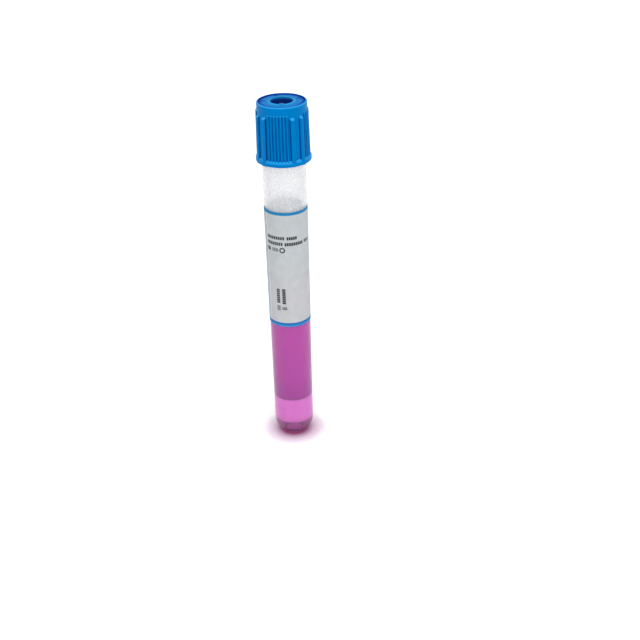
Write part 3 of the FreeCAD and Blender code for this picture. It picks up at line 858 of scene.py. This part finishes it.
def joinWith(piece, tools):
    for tool, operation in tools:
        step = piece.modifiers.new(tool.name, "BOOLEAN")
        step.operation = operation
        step.solver = "EXACT"
        step.object = tool
    made = bpy.data.meshes.new_from_object(piece.evaluated_get(bpy.context.evaluated_depsgraph_get()))
    piece.modifiers.clear()
    piece.data = made
    for tool, _ in tools:
        bpy.data.objects.remove(tool)
    made.shade_smooth()
    made.set_sharp_from_angle(angle=math.radians(shell["sharpAngle"]))


closureShell = turnedMesh("closureShell", outerRows() + innerRows(), shellAngles, ring=True)
tabIn, tabHalf, tabTop = shell["tabReach"], shell["tabHalf"], plateTop + shell["tabRise"]
slot = boxCutter("tabSlot", (tabIn, -tabHalf, tabTop),
                 (shell["collarRadius"], tabHalf, tabTop + shell["tabRoom"]), shell["tabAngle"], 0.0)
tab = boxCutter("tab", (tabIn, -tabHalf, tabTop - shell["tabThickness"]),
                (shell["collarRadius"] + shell["tabRoot"], tabHalf, tabTop), shell["tabAngle"],
                shell["tabEdge"])
dimples = [(discCutter("dimple%d" % i, turn), "DIFFERENCE") for i, turn in enumerate(shell["dimpleAngles"])]
joinWith(closureShell, [(slot, "DIFFERENCE"), (tab, "UNION")] + dimples)
placePiece(closureShell, "closure", "closure_shell", "closure_plastic", mouldedPolypropylene())
print("closure shell built,", len(closureShell.data.polygons), "faces")


# floor and light

studio = {
    "floorSize": 60.0, "floorDrop": 0.02, "floorColour": "#F4F4F4", "floorSeen": 1.2,
    "world": 0.4, "mirrored": 0.5,
    # these lines: a painted contact shadow on the floor, from ambient occlusion, and the shades it goes through
    "contactReach": 9.0, "contactDark": 0.3, "contactOpen": 0.97,
    "contactShadowShades": [(0.0, "#A3557F"), (0.16, "#A8829B"), (0.4, "#BFA4B5"), (0.57, "#D5C2D0"),
                      (0.71, "#E3D4E0"), (0.88, "#FFFFFF")],
    # level: how bright the light alone makes a white surface that faces it. Rise and turn say where it stands
    "overhead": {"level": 0.42, "spread": 16.0, "rise": 86.0, "turn": 270.0},
    "frontKey": {"level": 0.17, "spread": 20.0, "rise": 56.0, "turn": 274.0},
    "lowFill": {"level": 0.27, "spread": 50.0, "rise": 16.0, "turn": 300.0},
    "sideFill": {"level": 0.14, "spread": 50.0, "rise": 18.0, "turn": 196.0},
}


def seenDirectly(tree):
    path = addNode(tree, "ShaderNodeLightPath")
    either = addNode(tree, "ShaderNodeMath", {"operation": "MAXIMUM"}, links={
        0: path.outputs["Is Camera Ray"], 1: path.outputs["Is Transmission Ray"]})
    return either.outputs[0], path.outputs["Is Glossy Ray"]


def paleFloor():
    # a paper white. Lamps shine through clear plastic, so the dark under a round end is a painted contact
    # shadow: ambient occlusion darkens and tints the floor as camera, transmission and glossy rays see it
    material, tree = newMaterial("paleTable")
    direct, mirrored = seenDirectly(tree)
    share = addNode(tree, "ShaderNodeMath", {"operation": "MAXIMUM"}, links={0: direct, 1: mirrored})
    under = addNode(tree, "ShaderNodeAmbientOcclusion", {"samples": 16},
                    {"Distance": studio["contactReach"] * mm})
    contactShadowShare = addNode(tree, "ShaderNodeMapRange", values={1: studio["contactDark"], 2: studio["contactOpen"]},
                       links={0: under.outputs["AO"]})
    shades = addNode(tree, "ShaderNodeValToRGB", links={0: contactShadowShare.outputs[0]}, stops=studio["contactShadowShades"])
    dark = addNode(tree, "ShaderNodeMix", rgba, {6: (1, 1, 1, 1)},
                   {0: share.outputs[0], 7: shades.outputs[0]})
    seen = addNode(tree, "ShaderNodeMix", {**rgba, "blend_type": "MULTIPLY", "clamp_result": False}, {
        0: 1.0, 6: (studio["floorSeen"],) * 3 + (1,)}, {7: dark.outputs[2]})
    tone = addNode(tree, "ShaderNodeMix", rgba, {6: linearColour(studio["floorColour"])},
                   {0: share.outputs[0], 7: seen.outputs[2]})
    matt = addNode(tree, "ShaderNodeBsdfDiffuse", links={"Color": tone.outputs[2]})
    finishMaterial(tree, matt.outputs[0])
    return material


def softLight(name):
    light = studio[name]
    lamp = bpy.data.lights.new(name, "SUN")
    lamp.angle = math.radians(light["spread"])
    lamp.energy = light["level"] * math.pi
    holder = bpy.data.objects.new(name, lamp)
    rise, turn = math.radians(light["rise"]), math.radians(light["turn"])
    toward = Vector((math.cos(rise) * math.cos(turn), math.cos(rise) * math.sin(turn), math.sin(rise)))
    holder.location = toward
    holder.rotation_euler = (-toward).to_track_quat("-Z", "Y").to_euler()
    bpy.context.scene.collection.objects.link(holder)


def buildStudio():
    made = bmesh.new()
    bmesh.ops.create_grid(made, x_segments=1, y_segments=1, size=studio["floorSize"] / 2)
    floor = pieceFrom("tableTop", made)
    floor.location.z = -studio["floorDrop"] * mm
    floor.data.materials.append(paleFloor())
    world = bpy.data.worlds.new("softRoom")
    bpy.context.scene.world = world
    world.use_nodes = True
    tree = world.node_tree
    tree.nodes.clear()
    direct, mirrored = seenDirectly(tree)
    shine = addNode(tree, "ShaderNodeMath", {"operation": "MULTIPLY"}, {1: studio["mirrored"]}, {0: mirrored})
    seen = addNode(tree, "ShaderNodeMath", {"operation": "MAXIMUM"}, links={0: direct, 1: shine.outputs[0]})
    strength = addNode(tree, "ShaderNodeMath", {"operation": "MAXIMUM"}, {1: studio["world"]},
                       {0: seen.outputs[0]})
    sky = addNode(tree, "ShaderNodeBackground", values={"Color": (1, 1, 1, 1)},
                  links={"Strength": strength.outputs[0]})
    addNode(tree, "ShaderNodeOutputWorld", links={"Surface": sky.outputs[0]})
    for name in ("overhead", "frontKey", "lowFill", "sideFill"):
        softLight(name)


buildStudio()

camera = {
    "place": (0.0, -0.32341, 0.211585), "turn": (61.8735, 1.3966, -2.3526), "lens": 67.12,
    "sensor": 36.0, "clipStart": 0.01,
}
lensPiece = bpy.data.cameras.new("tableCamera")
lensPiece.lens = camera["lens"]
lensPiece.sensor_width = camera["sensor"]
lensPiece.clip_start = camera["clipStart"]
cameraPiece = bpy.data.objects.new("tableCamera", lensPiece)
cameraPiece.location = camera["place"]
cameraPiece.rotation_euler = [math.radians(a) for a in camera["turn"]]
bpy.context.scene.collection.objects.link(cameraPiece)
bpy.context.scene.camera = cameraPiece
bpy.context.scene.view_settings.view_transform = "Standard"
print("studio built")
